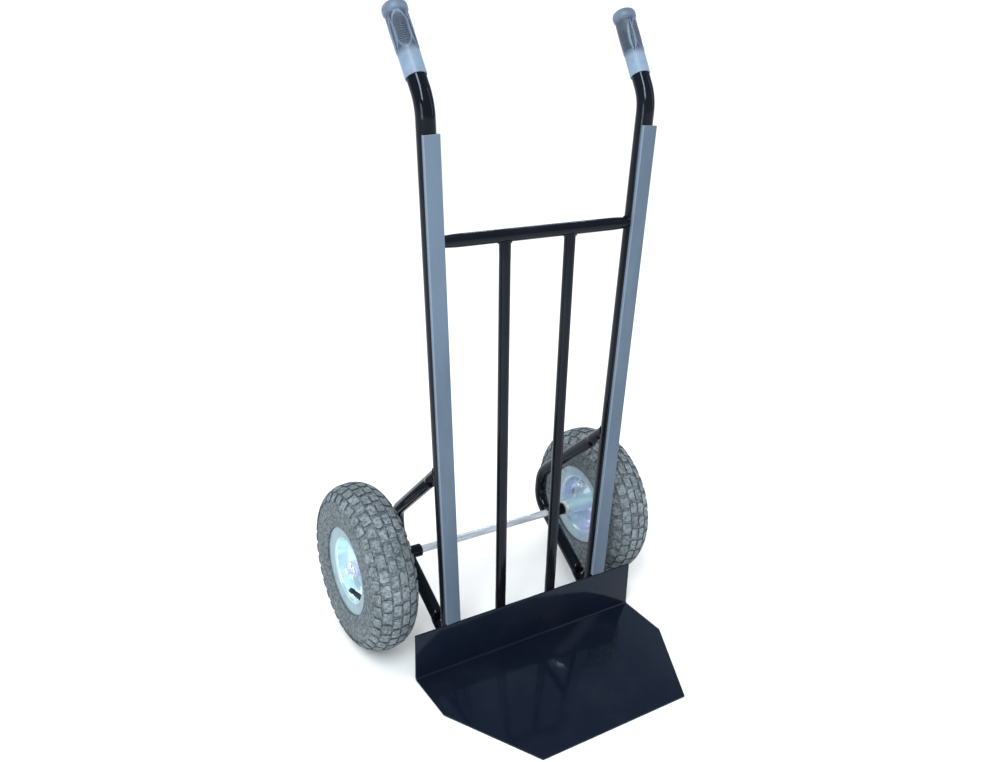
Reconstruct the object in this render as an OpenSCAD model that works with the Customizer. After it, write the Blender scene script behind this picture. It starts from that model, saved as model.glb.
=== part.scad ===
// Hand truck with a bent sheet toe plate, two round-tube rails and pneumatic wheels.
// Millimetres, +Z up, the front at -Y. The origin is the centre of the toe plate's
// underside, on the floor that the plate and both wheels stand on.

/* [Toe plate] */
// Width of the toe plate
plate_w = 396; // [340:1:480]
// Depth of the toe plate, from the upstand's front face to the front edge
plate_depth = 227; // [180:1:280]
// Depth of the straight sides, before the corners are cut off
plate_side = 86; // [40:1:120]
// Width of the front edge
plate_front_w = 249; // [160:1:320]
// Height of the upstand
upstand_h = 78; // [60:1:100]
// Thickness of the sheet
sheet_t = 3; // [2:0.5:5]
// Inside radius of the fold
fold_r = 3; // [2:0.5:6]

/* [Rails] */
// Outside diameter of the rail tube
rail_d = 25; // [20:0.5:30]
// Wall of the rail tube
rail_wall = 1.5; // [1:0.1:2.5]
// Distance between the rails' centre lines at the upstand's top edge
rail_bottom_w = 268; // [220:1:320]
// Distance between the rails' centre lines at the top of the wear strips
rail_top_w = 339; // [280:1:400]
// Height at which the rails begin, behind the upstand
rail_foot = 8; // [7:1:20]
// Height of the corner where the rails turn back into handles
handle_z = 821; // [800:1:990]
// Angle of the handles to the rails
handle_tilt = 33; // [15:1:50]
// Radius of the handle bend, at the tube's centre line
handle_r = 65; // [45:1:90]
// Length of the handle tube, from that corner
handle_len = 129; // [110:1:190]

/* [Wear strips] */
// Width of a wear strip
strip_w = 23; // [18:0.5:28]
// Thickness of the strip's section
strip_t = 2.5; // [1.5:0.1:4]
// Depth of the flanges that reach round the tube
strip_flange = 3.5; // [1:0.5:6]
// Height of the strips' top ends
strip_top = 785; // [650:1:795]

/* [Crossbar and inner bars] */
// Outside diameter of the crossbar
crossbar_d = 18; // [14:0.5:22]
// Height of the crossbar
crossbar_z = 650; // [520:1:750]
// Outside diameter of the inner bars
bar_d = 16; // [12:0.5:20]
// Wall of the crossbar and the inner bars
bar_wall = 1.5; // [1:0.1:2.5]
// Distance between the inner bars at the crossbar
bar_top_w = 106; // [80:1:140]
// Distance between the inner bars at the upstand's top edge
bar_bottom_w = 92; // [70:1:120]
// Height at which the inner bars begin, behind the upstand
bar_foot = 20; // [12:1:40]

/* [Wheel brackets] */
// Outside diameter of the bracket tube
bracket_d = 20; // [16:0.5:24]
// Wall of the bracket tube
bracket_wall = 1.5; // [1:0.1:2.5]
// Distance from the rail's centre line back to the bracket's upright part
bracket_back = 163; // [135:1:190]
// Height at which the upper arm's centre line meets the rail's
bracket_top = 328; // [290:1:380]
// Height of the corner under the upper arm
bracket_corner = 185; // [175:1:215]
// Slope of the lower arm
bracket_slope = 31.5; // [26:0.5:36]
// Radius of the bracket's bends, at the tube's centre line
bracket_r = 40; // [28:1:44]

/* [Axle] */
// Diameter of the axle
axle_d = 12; // [10:0.5:13]
// Distance from the upstand's front face back to the axle
axle_back = 134; // [118:1:145]
// Outside diameter of the axle sleeves
sleeve_d = 20; // [18:0.5:24]
// Length of an axle sleeve
sleeve_len = 33; // [24:1:40]
// Distance from the middle of the truck to a sleeve's inner end
sleeve_in = 121; // [110:1:125]
// Diameter of a split pin's wire
pin_d = 3.2; // [2:0.1:4]

/* [Wheels] */
// Outside diameter of the tyre
tyre_d = 260; // [250:1:290]
// Width of the tyre
tyre_w = 78; // [70:1:90]
// Diameter of the bead seat
seat_d = 100; // [96:1:104]
// Diameter of the rim's flanges
flange_d = 137; // [125:1:145]
// Inside width of the rim, between its flanges
rim_w = 55.6; // [50:0.2:62]
// Thickness of the rim's sheet
rim_t = 2; // [1.5:0.1:3]
// Outside diameter of the hub tube
hub_d = 26; // [24:0.5:32]
// Wall of the hub tube
hub_wall = 3; // [2:0.1:3.5]
// Length of the hub, over its end bushes
hub_len = 80; // [74:1:90]
// How far the hub's outer end stands out from the wheel's middle plane
hub_out = 20.5; // [14:0.5:30]
// Radius of the circle of rim bolts
bolt_ring = 33; // [29:0.5:35]
// Diameter of the rim bolts
bolt_d = 8; // [6:0.5:8]
// Number of rim bolts
bolts = 4; // [3:1:5]
// Number of rollers in a hub
rollers = 8; // [6:1:9]
// Length of the valve stem
valve_len = 27; // [20:1:34]

/* [Grips] */
// Length of a grip, over its closed end
grip_len = 98; // [85:1:120]
// Wall of the grip's lower sleeve
grip_wall = 1.3; // [1:0.1:3]
// How far the grip's upper part stands out from the lower sleeve
grip_swell = 1; // [0.5:0.1:3]
// How far the flange at the grip's end stands out from the upper part
grip_flange = 1.5; // [1:0.1:4]
// Thickness of the grip's closed end
grip_end = 3; // [2:0.5:6]

/* [Clearances] */
// Gap left in a welded joint, and between a part and its seat
seat_gap = 0.2; // [0.1:0.05:0.3]
// Axial gap beside a part that turns
side_gap = 0.3; // [0.3:0.05:0.6]
// Radial clearance of a shaft in its bore
run_gap = 0.05; // [0.02:0.01:0.08]

/* [Hidden] */
$fn = 64;
eps = 1; // how far a cutting shape runs past what it cuts

// The joints of a bent tube.
joint_half = 0.6;
joint_proud = 0.01;

// Places along Y. The upstand's front face is half the plate's depth behind the origin.
upstand_y = plate_depth / 2;
rail_y = upstand_y + sheet_t + seat_gap + rail_d / 2;
axle_y = upstand_y + axle_back;

// The rails lean in towards the bottom.
splay = atan((rail_top_w - rail_bottom_w) / 2 / (strip_top - upstand_h));
rail_x0 = rail_bottom_w / 2 - upstand_h * tan(splay);
function rail_x(z) = rail_x0 + z * tan(splay);

// Inner bars run from the crossbar's axis to the back of the upstand.
bar_bottom_y = upstand_y + sheet_t + seat_gap + bar_d / 2;
bar_slope = (bar_top_w - bar_bottom_w) / 2 / (crossbar_z - upstand_h);
function bar_x(z) = bar_top_w / 2 - (crossbar_z - z) * bar_slope;

// Wheels stand on the floor, so the axle is at the tyre's radius.
axle_z = tyre_d / 2;
washer_t = 2;
hub_in_x = sleeve_in + sleeve_len + washer_t + 2 * side_gap;
hub_out_x = hub_in_x + hub_len;
wheel_x = hub_out_x - hub_out;
washer_d = 22;
pin_x = hub_out_x + side_gap + washer_t + side_gap + pin_d / 2;
axle_half = pin_x + pin_d / 2 + 5;
pin_hole_gap = 0.2;
axle_chamfer = 1;

// The lower arm passes under the axle sleeve, as a line in the rail's own plane.
lift = (bracket_d + sleeve_d) / 2 + seat_gap;
axle_up = axle_z / cos(splay);
axle_behind = axle_y - rail_y;
function lower_arm_z(y) = axle_up - lift / cos(bracket_slope) + (y - axle_behind) * tan(bracket_slope);
bracket_path = [
    [0, bracket_top], [bracket_back, bracket_corner],
    [bracket_back, lower_arm_z(bracket_back)], [0, lower_arm_z(0)]
];
rail_path = [
    [0, rail_foot], [0, handle_z],
    [handle_len * sin(handle_tilt), handle_z + handle_len * cos(handle_tilt)]
];

// Rim and tyre sections, as [radius, distance from the wheel's middle plane].
seat_r = seat_d / 2;
flange_r = flange_d / 2;
dish_r = seat_r - rim_t - 4;
wall_out = rim_w / 2;
tread_t = 7;
side_t = 6;
bead_gap = 0.3;
tube_wall = 1.5;
bead_in = rim_w / 2 - 12; // half the opening between the tyre's beads
section_top = tyre_d / 2;
section_h = section_top - seat_r;
cavity_r = section_top - tread_t;
cavity_h = cavity_r - (seat_r + 18);
section_power = 2.3;

// Hub and roller bearing.
hub_r = hub_d / 2;
bore_r = hub_r - hub_wall;
bush_flange_t = 1.5;
bush_len = 8;
roller_r = (bore_r - axle_d / 2) / 2 - run_gap;
roller_ring = (bore_r + axle_d / 2) / 2;
cage_len = hub_len - 2 * (bush_flange_t + bush_len + side_gap);
cage_end = 4;
cage_gap = 0.4;

// Rim bolts.
bolt_af = 13;
head_h = 5.3;
nut_h = 6.5;
bolt_gap = 0.2;
thread_gap = 0.1;

// Valve.
valve_d = 9;
valve_cap_d = 8;
valve_cap_len = 8;
valve_turn = 30; // from straight down towards the front
valve_lean = 38; // out from the wheel's plane
valve_x = wall_out * 0.55; // where it leaves the rim, from the middle plane

// ---- Shared shapes ----

// Children for the right side; the left side is their mirror image.
module sided(side) {
    if (side < 0) mirror([1, 0, 0]) children();
    else children();
}

// The plane of the right rail: Y stays the truck's Y, and Z runs up the rail.
module in_rail_plane() {
    translate([rail_x0, rail_y, 0]) rotate([0, splay, 0]) children();
}

module ring2d(d, wall) {
    difference() {
        circle(d = d);
        if (wall > 0) circle(d = d - 2 * wall);
    }
}

// A rod or tube along +X, from x0 to x1.
module rod_x(x0, x1, d) {
    translate([x0, 0, 0]) rotate([0, 90, 0]) cylinder(h = x1 - x0, d = d);
}

// A washer or collar along +X, from x0 to x1.
module collar_x(x0, x1, d, bore) {
    difference() {
        rod_x(x0, x1, d);
        rod_x(x0 - eps, x1 + eps, bore);
    }
}

// Angle of the step from a to b, from +Y towards +Z, for points given as [y, z].
function heading(a, b) = atan2(b[1] - a[1], b[0] - a[0]);
function wrap(t) = t > 180 ? t - 360 : (t < -180 ? t + 360 : t);
function turn_at(p, i) = wrap(heading(p[i], p[i + 1]) - heading(p[i - 1], p[i]));
// How much of a straight is used up by the bend at corner i.
function bend_cut(p, i, r) = (i <= 0 || i >= len(p) - 1) ? 0 : r * tan(abs(turn_at(p, i)) / 2);

// A short ring that joins a straight to a bend. It stands out by joint_proud, so that the
// straight and the bend end inside it and need not meet face to face.
module joint_ring(d, wall) {
    translate([0, 0, -joint_half])
        linear_extrude(2 * joint_half) ring2d(d + 2 * joint_proud, wall + 2 * joint_proud);
}

// A bend that starts here along +Z and turns towards +Y, and then its children.
module bend_then(turn, r, d, wall) {
    short = joint_half / 3 / r * 180 / PI;
    joint_ring(d, wall);
    translate([0, r, 0]) rotate([-short, 0, 0]) rotate([90, 0, -90])
        rotate_extrude(angle = turn - 2 * short) translate([r, 0]) ring2d(d, wall);
    translate([0, r, 0]) rotate([-turn, 0, 0]) translate([0, -r, 0]) {
        joint_ring(d, wall);
        children();
    }
}

// Straight i of a bent tube and all that follows it, from the start of that straight.
module tube_from(path, i, r, d, wall) {
    more = i < len(path) - 2;
    span = norm(path[i + 1] - path[i]) - bend_cut(path, i, r) - bend_cut(path, i + 1, r);
    start = i > 0 ? joint_half / 3 : 0;
    stop = span - (more ? joint_half / 3 : 0);
    translate([0, 0, start]) linear_extrude(stop - start) ring2d(d, wall);
    if (more) {
        turn = turn_at(path, i + 1);
        flip = [0, turn > 0 ? 1 : 0, 0];
        translate([0, 0, span]) mirror(flip) bend_then(abs(turn), r, d, wall)
            mirror(flip) tube_from(path, i + 1, r, d, wall);
    }
}

// A bent tube in the YZ plane, along the corners of path, with bends of radius r.
module bent_tube(path, r, d, wall) {
    translate([0, path[0][0], path[0][1]])
        rotate([heading(path[0], path[1]) - 90, 0, 0]) tube_from(path, 0, r, d, wall);
}

// ---- Frame ----

module fold_section() {
    ro = fold_r + sheet_t;
    translate([-plate_depth, 0]) square([plate_depth - fold_r, sheet_t]);
    translate([0, ro]) square([sheet_t, upstand_h - ro]);
    translate([-fold_r, ro]) intersection() {
        difference() {
            circle(r = ro);
            circle(r = fold_r);
        }
        translate([0, -ro]) square([ro, ro]);
    }
}

module plate_outline() {
    polygon([
        [-plate_w / 2, sheet_t + eps], [plate_w / 2, sheet_t + eps],
        [plate_w / 2, -plate_side], [plate_front_w / 2, -plate_depth],
        [-plate_front_w / 2, -plate_depth], [-plate_w / 2, -plate_side]
    ]);
}

module toe_plate() {
    color("#15151d") translate([0, upstand_y, 0]) intersection() {
        translate([-plate_w / 2, 0, 0]) rotate([90, 0, 90]) linear_extrude(plate_w) fold_section();
        translate([0, 0, -eps]) linear_extrude(upstand_h + 2 * eps) plate_outline();
    }
}

module rail(side) {
    color("#121214") sided(side) in_rail_plane() bent_tube(rail_path, handle_r, rail_d, rail_wall);
}

// The rails' straight parts as solid rods, for cutting the ends of what meets them.
module rail_cutters() {
    for (side = [-1, 1]) sided(side) in_rail_plane()
        translate([0, 0, -eps]) cylinder(h = handle_z, d = rail_d + 2 * seat_gap);
}

module wear_strip(side) {
    start = (upstand_h + seat_gap) / cos(splay) + strip_w / 2 * tan(splay);
    front = rail_d / 2 + seat_gap + strip_t;
    color("#5f6f85") sided(side) in_rail_plane() difference() {
        translate([-strip_w / 2, -front, start])
            cube([strip_w, strip_t + strip_flange, strip_top / cos(splay) - start]);
        translate([0, 0, start - eps]) cylinder(h = strip_top, d = rail_d + 2 * seat_gap);
        translate([-strip_w / 2 + strip_t, -front + strip_t, start - eps])
            cube([strip_w - 2 * strip_t, rail_d, strip_top]);
    }
}

module crossbar() {
    color("#121214") difference() {
        translate([0, rail_y, crossbar_z])
            collar_x(-rail_x(crossbar_z), rail_x(crossbar_z), crossbar_d, crossbar_d - 2 * bar_wall);
        rail_cutters();
    }
}

module inner_bar(side) {
    top = [bar_x(crossbar_z), rail_y, crossbar_z];
    foot = [bar_x(bar_foot), bar_bottom_y, bar_foot];
    step = top - foot;
    color("#121214") sided(side) difference() {
        translate(foot)
            rotate([-atan2(step[1], norm([step[0], step[2]])), atan2(step[0], step[2]), 0])
                linear_extrude(norm(step)) ring2d(bar_d, bar_wall);
        translate([0, rail_y, crossbar_z])
            rod_x(0, rail_top_w / 2, crossbar_d + 2 * seat_gap);
    }
}

module wheel_bracket(side) {
    color("#121214") sided(side) difference() {
        in_rail_plane() bent_tube(bracket_path, bracket_r, bracket_d, bracket_wall);
        in_rail_plane() translate([0, 0, -eps]) cylinder(h = strip_top, d = rail_d + 2 * seat_gap);
    }
}

module axle_sleeve(side) {
    color("#121214") sided(side) translate([0, axle_y, axle_z])
        collar_x(sleeve_in, sleeve_in + sleeve_len, sleeve_d, axle_d + 2 * run_gap);
}

module grip(side) {
    bead_h = 5;
    bevel = 3;
    body_h = grip_len * 0.42; // height at which the lower sleeve widens
    top = grip_len - grip_end;
    inner_r = rail_d / 2 + seat_gap;
    sleeve_r = inner_r + grip_wall;
    upper_r = sleeve_r + grip_swell;
    end_r = upper_r + grip_flange;
    color("#23262b") sided(side) in_rail_plane() translate([0, 0, handle_z]) rotate([-handle_tilt, 0, 0])
        translate([0, 0, handle_len - top + seat_gap]) rotate_extrude() polygon([
            [inner_r, 0], [sleeve_r, 0], [sleeve_r, body_h],
            [upper_r, body_h + 12], [upper_r, grip_len - bead_h - bevel],
            [end_r, grip_len - bead_h], [end_r, grip_len - bevel],
            [end_r - bevel, grip_len], [0, grip_len], [0, top], [inner_r, top]
        ]);
}

// ---- Axle ----

module axle() {
    color("#c9ccd0") difference() {
        translate([0, axle_y, axle_z]) union() {
            rod_x(-axle_half + axle_chamfer, axle_half - axle_chamfer, axle_d);
            for (side = [-1, 1]) sided(side)
                translate([axle_half - axle_chamfer, 0, 0]) rotate([0, 90, 0])
                    cylinder(h = axle_chamfer, d1 = axle_d, d2 = axle_d - 2 * axle_chamfer);
        }
        for (side = [-1, 1]) translate([side * pin_x, axle_y, axle_z])
            cylinder(h = 2 * axle_d, d = pin_d + 2 * pin_hole_gap, center = true);
    }
}

module washers(x0) {
    color("#b9bcc2") for (side = [-1, 1]) sided(side) translate([0, axle_y, axle_z])
        collar_x(x0, x0 + washer_t, washer_d, axle_d + 1);
}

module inner_washers() washers(sleeve_in + sleeve_len + side_gap);
module outer_washers() washers(hub_out_x + side_gap);

// A split pin: an eye above the axle, the wire through it and two legs bent apart below.
module split_pins() {
    leg = 7;
    eye = 3.2;
    under = axle_d / 2 + pin_d / 4 + seat_gap;
    color("#d5d8dc") for (side = [-1, 1]) sided(side) translate([pin_x, axle_y, axle_z]) {
        translate([0, 0, -under]) cylinder(h = under + axle_d / 2 + eye, d = pin_d, $fn = 32);
        translate([0, 0, axle_d / 2 + eye + 1]) rotate([90, 0, 90])
            rotate_extrude($fn = 32) translate([eye, 0]) circle(d = pin_d * 0.7);
        translate([0, -leg, -under]) rotate([-90, 0, 0]) cylinder(h = 2 * leg, d = pin_d / 2, $fn = 32);
    }
}

// ---- Wheels ----

// Children turn about the wheel's axis: their Z becomes the truck's +X, from the wheel's middle plane.
module on_wheel(side) {
    sided(side) translate([wheel_x, axle_y, axle_z]) rotate([0, 90, 0]) children();
}

// A rounded section, a high and low of which are equal powers of a sine and cosine.
module rounded_section(r_mid, half_h, half_w) {
    steps = 40;
    polygon([for (i = [0 : steps - 1])
        let (a = 360 * i / steps, c = cos(a), s = sin(a))
            [r_mid + half_h * sign(c) * pow(abs(c), 2 / section_power),
             half_w * sign(s) * pow(abs(s), 2 / section_power)]]);
}

module tyre(side) {
    color("#3c3c3a") on_wheel(side) rotate_extrude() difference() {
        intersection() {
            rounded_section(section_top - section_h / 2, section_h / 2, tyre_w / 2);
            translate([seat_r + bead_gap, -tyre_w]) square([tyre_d, 2 * tyre_w]);
        }
        rounded_section(cavity_r - cavity_h / 2, cavity_h / 2, tyre_w / 2 - side_t);
        translate([0, -bead_in]) square([seat_r + 24, 2 * bead_in]);
        for (s = [-1, 1]) translate([0, s > 0 ? wall_out - bead_gap : -tyre_w])
            square([flange_r + bead_gap, tyre_w - wall_out + bead_gap]);
    }
}

module tube_section(inset) {
    gap = bead_gap + inset;
    rounded_section(cavity_r - cavity_h / 2, cavity_h / 2 - gap, tyre_w / 2 - side_t - gap);
    translate([seat_r + gap, -bead_in + gap]) square([24 - 2 * gap, 2 * (bead_in - gap)]);
}

module inner_tube(side) {
    color("#1d1d1d") on_wheel(side) rotate_extrude() difference() {
        tube_section(0);
        tube_section(tube_wall);
    }
}

// One pressed half of the rim, its flat disc on the wheel's middle plane.
module rim_section() {
    bend = 5;
    polygon([
        [hub_r + seat_gap, 0], [dish_r + rim_t, 0], [seat_r, bend + rim_t], [seat_r, wall_out],
        [flange_r, wall_out], [flange_r, wall_out + rim_t], [seat_r, wall_out + rim_t],
        [seat_r - rim_t, wall_out], [seat_r - rim_t, bend + 2 * rim_t], [dish_r, rim_t],
        [hub_r + seat_gap, rim_t]
    ]);
}

module bolt_places() {
    for (i = [0 : bolts - 1]) rotate([0, 0, 360 / bolts * (i + 0.5)]) translate([bolt_ring, 0, 0]) children();
}

// The valve's axis, from where it leaves the rim.
module valve_place() {
    rotate([0, 0, -valve_turn]) translate([seat_r - rim_t / 2, 0, valve_x])
        rotate([0, valve_lean - 90, 0]) children();
}

module rim_half(side, out) {
    color("#a9c4d6") on_wheel(side) difference() {
        mirror([0, 0, out ? 0 : 1]) rotate_extrude() rim_section();
        bolt_places() translate([0, 0, -rim_w]) cylinder(h = 2 * rim_w, d = bolt_d + 2 * bolt_gap);
        if (out) valve_place() translate([0, 0, -2 * rim_t])
            cylinder(h = valve_len, d = valve_d + 2 * seat_gap);
    }
}

module hub_tube(side) {
    color("#b4cad8") sided(side) translate([0, axle_y, axle_z])
        collar_x(hub_in_x + bush_flange_t, hub_out_x - bush_flange_t, hub_d, 2 * bore_r);
}

module hub_bushes(side) {
    color("#e4e4dc") sided(side) translate([0, axle_y, axle_z])
        for (end = [0, 1]) {
            face = end ? hub_out_x : hub_in_x;
            dir = end ? -1 : 1;
            seat = face + dir * bush_flange_t;
            tip = face + dir * (bush_flange_t + bush_len);
            difference() {
                union() {
                    rod_x(min(face, seat), max(face, seat), hub_d - 1);
                    rod_x(min(face, tip), max(face, tip), 2 * (bore_r - run_gap));
                }
                rod_x(hub_in_x - eps, hub_out_x + eps, axle_d + 2 * run_gap);
            }
        }
}

module rim_bolts(side) {
    color("#cfd6dc") on_wheel(side) bolt_places() {
        translate([0, 0, rim_t]) cylinder(h = head_h, d = bolt_af / cos(30), $fn = 6);
        translate([0, 0, -rim_t - nut_h - 2]) cylinder(h = 2 * rim_t + nut_h + 2, d = bolt_d);
    }
}

module rim_nuts(side) {
    color("#cfd6dc") on_wheel(side) bolt_places() translate([0, 0, -rim_t - nut_h]) difference() {
        cylinder(h = nut_h, d = bolt_af / cos(30), $fn = 6);
        translate([0, 0, -eps]) cylinder(h = nut_h + 2 * eps, d = bolt_d + 2 * thread_gap);
    }
}

module valve_stem(side) {
    color("#1a1a1a") on_wheel(side) valve_place() {
        cylinder(h = valve_len - valve_cap_len, d = valve_d);
        cylinder(h = valve_len - 1, d = valve_cap_d - 2);
    }
}

module valve_cap(side) {
    color("#2a2a2a") on_wheel(side) valve_place() difference() {
        translate([0, 0, valve_len - valve_cap_len + seat_gap]) cylinder(h = valve_cap_len, d = valve_cap_d);
        cylinder(h = valve_len - 1 + seat_gap, d = valve_cap_d - 2 + 2 * seat_gap);
    }
}

module roller_places() {
    for (i = [0 : rollers - 1]) rotate([360 / rollers * i, 0, 0]) translate([0, roller_ring, 0]) children();
}

module roller_cage(side) {
    x0 = hub_in_x + bush_flange_t + bush_len + side_gap;
    color("#2d4a63") sided(side) translate([0, axle_y, axle_z]) difference() {
        collar_x(x0, x0 + cage_len, 2 * (bore_r - cage_gap), axle_d + 2 * cage_gap);
        roller_places() rod_x(x0 + cage_end, x0 + cage_len - cage_end, 2 * (roller_r + 2 * run_gap));
    }
}

module rollers_set(side) {
    x0 = hub_in_x + bush_flange_t + bush_len + side_gap + cage_end + side_gap;
    color("#d8dade") sided(side) translate([0, axle_y, axle_z])
        roller_places() rod_x(x0, x0 + cage_len - 2 * (cage_end + side_gap), 2 * roller_r);
}

toe_plate();
rail(-1);  // rail_left
rail(1);  // rail_right
wear_strip(-1);  // wear_strip_left
wear_strip(1);  // wear_strip_right
crossbar();
inner_bar(-1);  // inner_bar_left
inner_bar(1);  // inner_bar_right
wheel_bracket(-1);  // wheel_bracket_left
wheel_bracket(1);  // wheel_bracket_right
axle_sleeve(-1);  // axle_sleeve_left
axle_sleeve(1);  // axle_sleeve_right
grip(-1);  // grip_left
grip(1);  // grip_right
axle();
inner_washers();
outer_washers();
split_pins();
tyre(-1);  // tyre_left
inner_tube(-1);  // inner_tube_left
rim_half(-1, true);  // rim_outer_left
rim_half(-1, false);  // rim_inner_left
hub_tube(-1);  // hub_tube_left
hub_bushes(-1);  // hub_bushes_left
rim_bolts(-1);  // rim_bolts_left
rim_nuts(-1);  // rim_nuts_left
valve_stem(-1);  // valve_stem_left
valve_cap(-1);  // valve_cap_left
roller_cage(-1);  // roller_cage_left
rollers_set(-1);  // rollers_left
tyre(1);  // tyre_right
inner_tube(1);  // inner_tube_right
rim_half(1, true);  // rim_outer_right
rim_half(1, false);  // rim_inner_right
hub_tube(1);  // hub_tube_right
hub_bushes(1);  // hub_bushes_right
rim_bolts(1);  // rim_bolts_right
rim_nuts(1);  // rim_nuts_right
valve_stem(1);  // valve_stem_right
valve_cap(1);  // valve_cap_right
roller_cage(1);  // roller_cage_right
rollers_set(1);  // rollers_right
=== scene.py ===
"""Hand truck: gloss black tube frame, folded toe plate, moulded grips and pneumatic wheels."""
import math
import random

import bmesh
import bpy
from mathutils import Matrix, Vector


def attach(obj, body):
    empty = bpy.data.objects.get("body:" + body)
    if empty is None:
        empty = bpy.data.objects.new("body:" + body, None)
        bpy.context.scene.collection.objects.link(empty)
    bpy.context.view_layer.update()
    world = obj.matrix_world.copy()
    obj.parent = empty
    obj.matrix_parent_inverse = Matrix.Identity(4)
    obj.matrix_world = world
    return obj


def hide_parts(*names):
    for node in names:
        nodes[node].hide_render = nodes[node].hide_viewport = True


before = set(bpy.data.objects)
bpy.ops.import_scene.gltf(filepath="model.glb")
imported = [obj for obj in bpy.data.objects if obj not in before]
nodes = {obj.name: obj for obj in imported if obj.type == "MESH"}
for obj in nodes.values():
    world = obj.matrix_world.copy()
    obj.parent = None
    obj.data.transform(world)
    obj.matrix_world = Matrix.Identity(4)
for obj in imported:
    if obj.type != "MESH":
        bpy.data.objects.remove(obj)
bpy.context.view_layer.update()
scene = bpy.context.scene

# ---- Sizes, in metres, as in the part's source ----

PLATE_W, PLATE_DEPTH, PLATE_SIDE, PLATE_FRONT_W = 0.396, 0.227, 0.086, 0.249
UPSTAND_H, SHEET, FOLD_R = 0.078, 0.003, 0.003
SEAT_GAP = 0.0002
UPSTAND_Y = PLATE_DEPTH / 2
RAIL_R, RAIL_WALL, RAIL_FOOT = 0.0125, 0.0015, 0.008
RAIL_TOP_W, RAIL_BOTTOM_W = 0.339, 0.268
RAIL_Y = UPSTAND_Y + SHEET + SEAT_GAP + RAIL_R
STRIP_TOP, STRIP_W, STRIP_T, STRIP_FLANGE = 0.785, 0.023, 0.0025, 0.0035
SPLAY = math.atan((RAIL_TOP_W - RAIL_BOTTOM_W) / 2 / (STRIP_TOP - UPSTAND_H))
RAIL_X0 = RAIL_BOTTOM_W / 2 - UPSTAND_H * math.tan(SPLAY)
HANDLE_Z, HANDLE_TILT, HANDLE_R, HANDLE_LEN = 0.821, math.radians(33), 0.065, 0.129
CROSSBAR_R, CROSSBAR_Z, BAR_R = 0.009, 0.650, 0.008
BAR_TOP_X, BAR_BOTTOM_X, BAR_FOOT_Z = 0.053, 0.046, 0.020
BAR_SLOPE = (BAR_TOP_X - BAR_BOTTOM_X) / (CROSSBAR_Z - UPSTAND_H)
BAR_FOOT_X = BAR_TOP_X - (CROSSBAR_Z - BAR_FOOT_Z) * BAR_SLOPE
BAR_FOOT = Vector((BAR_FOOT_X, UPSTAND_Y + SHEET + SEAT_GAP + BAR_R, BAR_FOOT_Z))
BAR_TOP = Vector((BAR_TOP_X, RAIL_Y, CROSSBAR_Z))
BRACKET_R, BRACKET_BEND = 0.010, 0.040
AXLE_BACK = 0.134
AXLE_R, AXLE_Y, AXLE_Z, AXLE_HALF = 0.006, UPSTAND_Y + AXLE_BACK, 0.130, 0.2474
SLEEVE_R, SLEEVE_IN, SLEEVE_LEN, SLEEVE_TOUCH_Z = 0.010, 0.121, 0.033, 0.118
BRACKET_BACK, BRACKET_SLOPE = 0.163, math.radians(31.5)
BRACKET_LIFT = (BRACKET_R + SLEEVE_R + SEAT_GAP) / math.cos(BRACKET_SLOPE)


def lower_arm_z(y):
    """The height, in the rail's own plane, of a bracket's lower arm, which passes under the axle's sleeve."""
    return AXLE_Z / math.cos(SPLAY) - BRACKET_LIFT + (y - (AXLE_Y - RAIL_Y)) * math.tan(BRACKET_SLOPE)


BRACKET_TOP, BRACKET_CORNER = 0.328, 0.185
BRACKET = [(0, BRACKET_TOP), (BRACKET_BACK, BRACKET_CORNER),
           (BRACKET_BACK, lower_arm_z(BRACKET_BACK)), (0, lower_arm_z(0))]
HUB_IN, HUB_OUT, HUB_R, HUB_WALL = 0.1566, 0.2366, 0.013, 0.003
WHEEL_X = HUB_OUT - 0.0205
TYRE_R, TYRE_W, SEAT_R, FLANGE_R = 0.130, 0.078, 0.050, 0.0685
RIM_OUT, RIM_T, DISH_R = 0.0278, 0.002, 0.044
BOLT_RING, BOLT_AF = 0.033, 0.013
GRIP_LEN, GRIP_R, GRIP_TOP_R, GRIP_FLANGE_R, GRIP_CAP = 0.098, 0.014, 0.015, 0.0165, 0.003
PAD_TURN, PAD_HALF_W, PAD_HALF_H, PAD_MID, RIDGE_PITCH = math.radians(25), 0.0098, 0.0215, 0.0575, 0.0029
PITCHES, BLOCK_TALL, CROWN_MID = 36, 0.0022, 0.090
SIDES = ((-1, "left"), (1, "right"))
ORIGIN, AXIS_X, AXIS_Y, AXIS_Z = Vector((0, 0, 0)), Vector((1, 0, 0)), Vector((0, 1, 0)), Vector((0, 0, 1))


def rail_x(z):
    return RAIL_X0 + z * math.tan(SPLAY)


def clamped(value, high=1.0):
    return max(0.0, min(high, value))


def eased(k):
    return k * k * (3 - 2 * k)


# ---- Finishes ----


class Value:
    """A socket that takes part in sums, each of which adds its Math node."""

    def __init__(self, finish, socket):
        self.finish, self.socket = finish, socket

    def __add__(self, other):
        return self.finish.math("ADD", self, other)

    def __sub__(self, other):
        return self.finish.math("SUBTRACT", self, other)

    def __rsub__(self, other):
        return self.finish.math("SUBTRACT", other, self)

    def __mul__(self, other):
        return self.finish.math("MULTIPLY", self, other)

    __radd__, __rmul__ = __add__, __mul__

    def between(self, low, high):
        """0 at low and below, 1 at high and above."""
        kind, settings = "ShaderNodeMapRange", {"interpolation_type": "SMOOTHSTEP"}
        return self.finish.node(kind, settings, {"Value": self, "From Min": low, "From Max": high})


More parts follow.
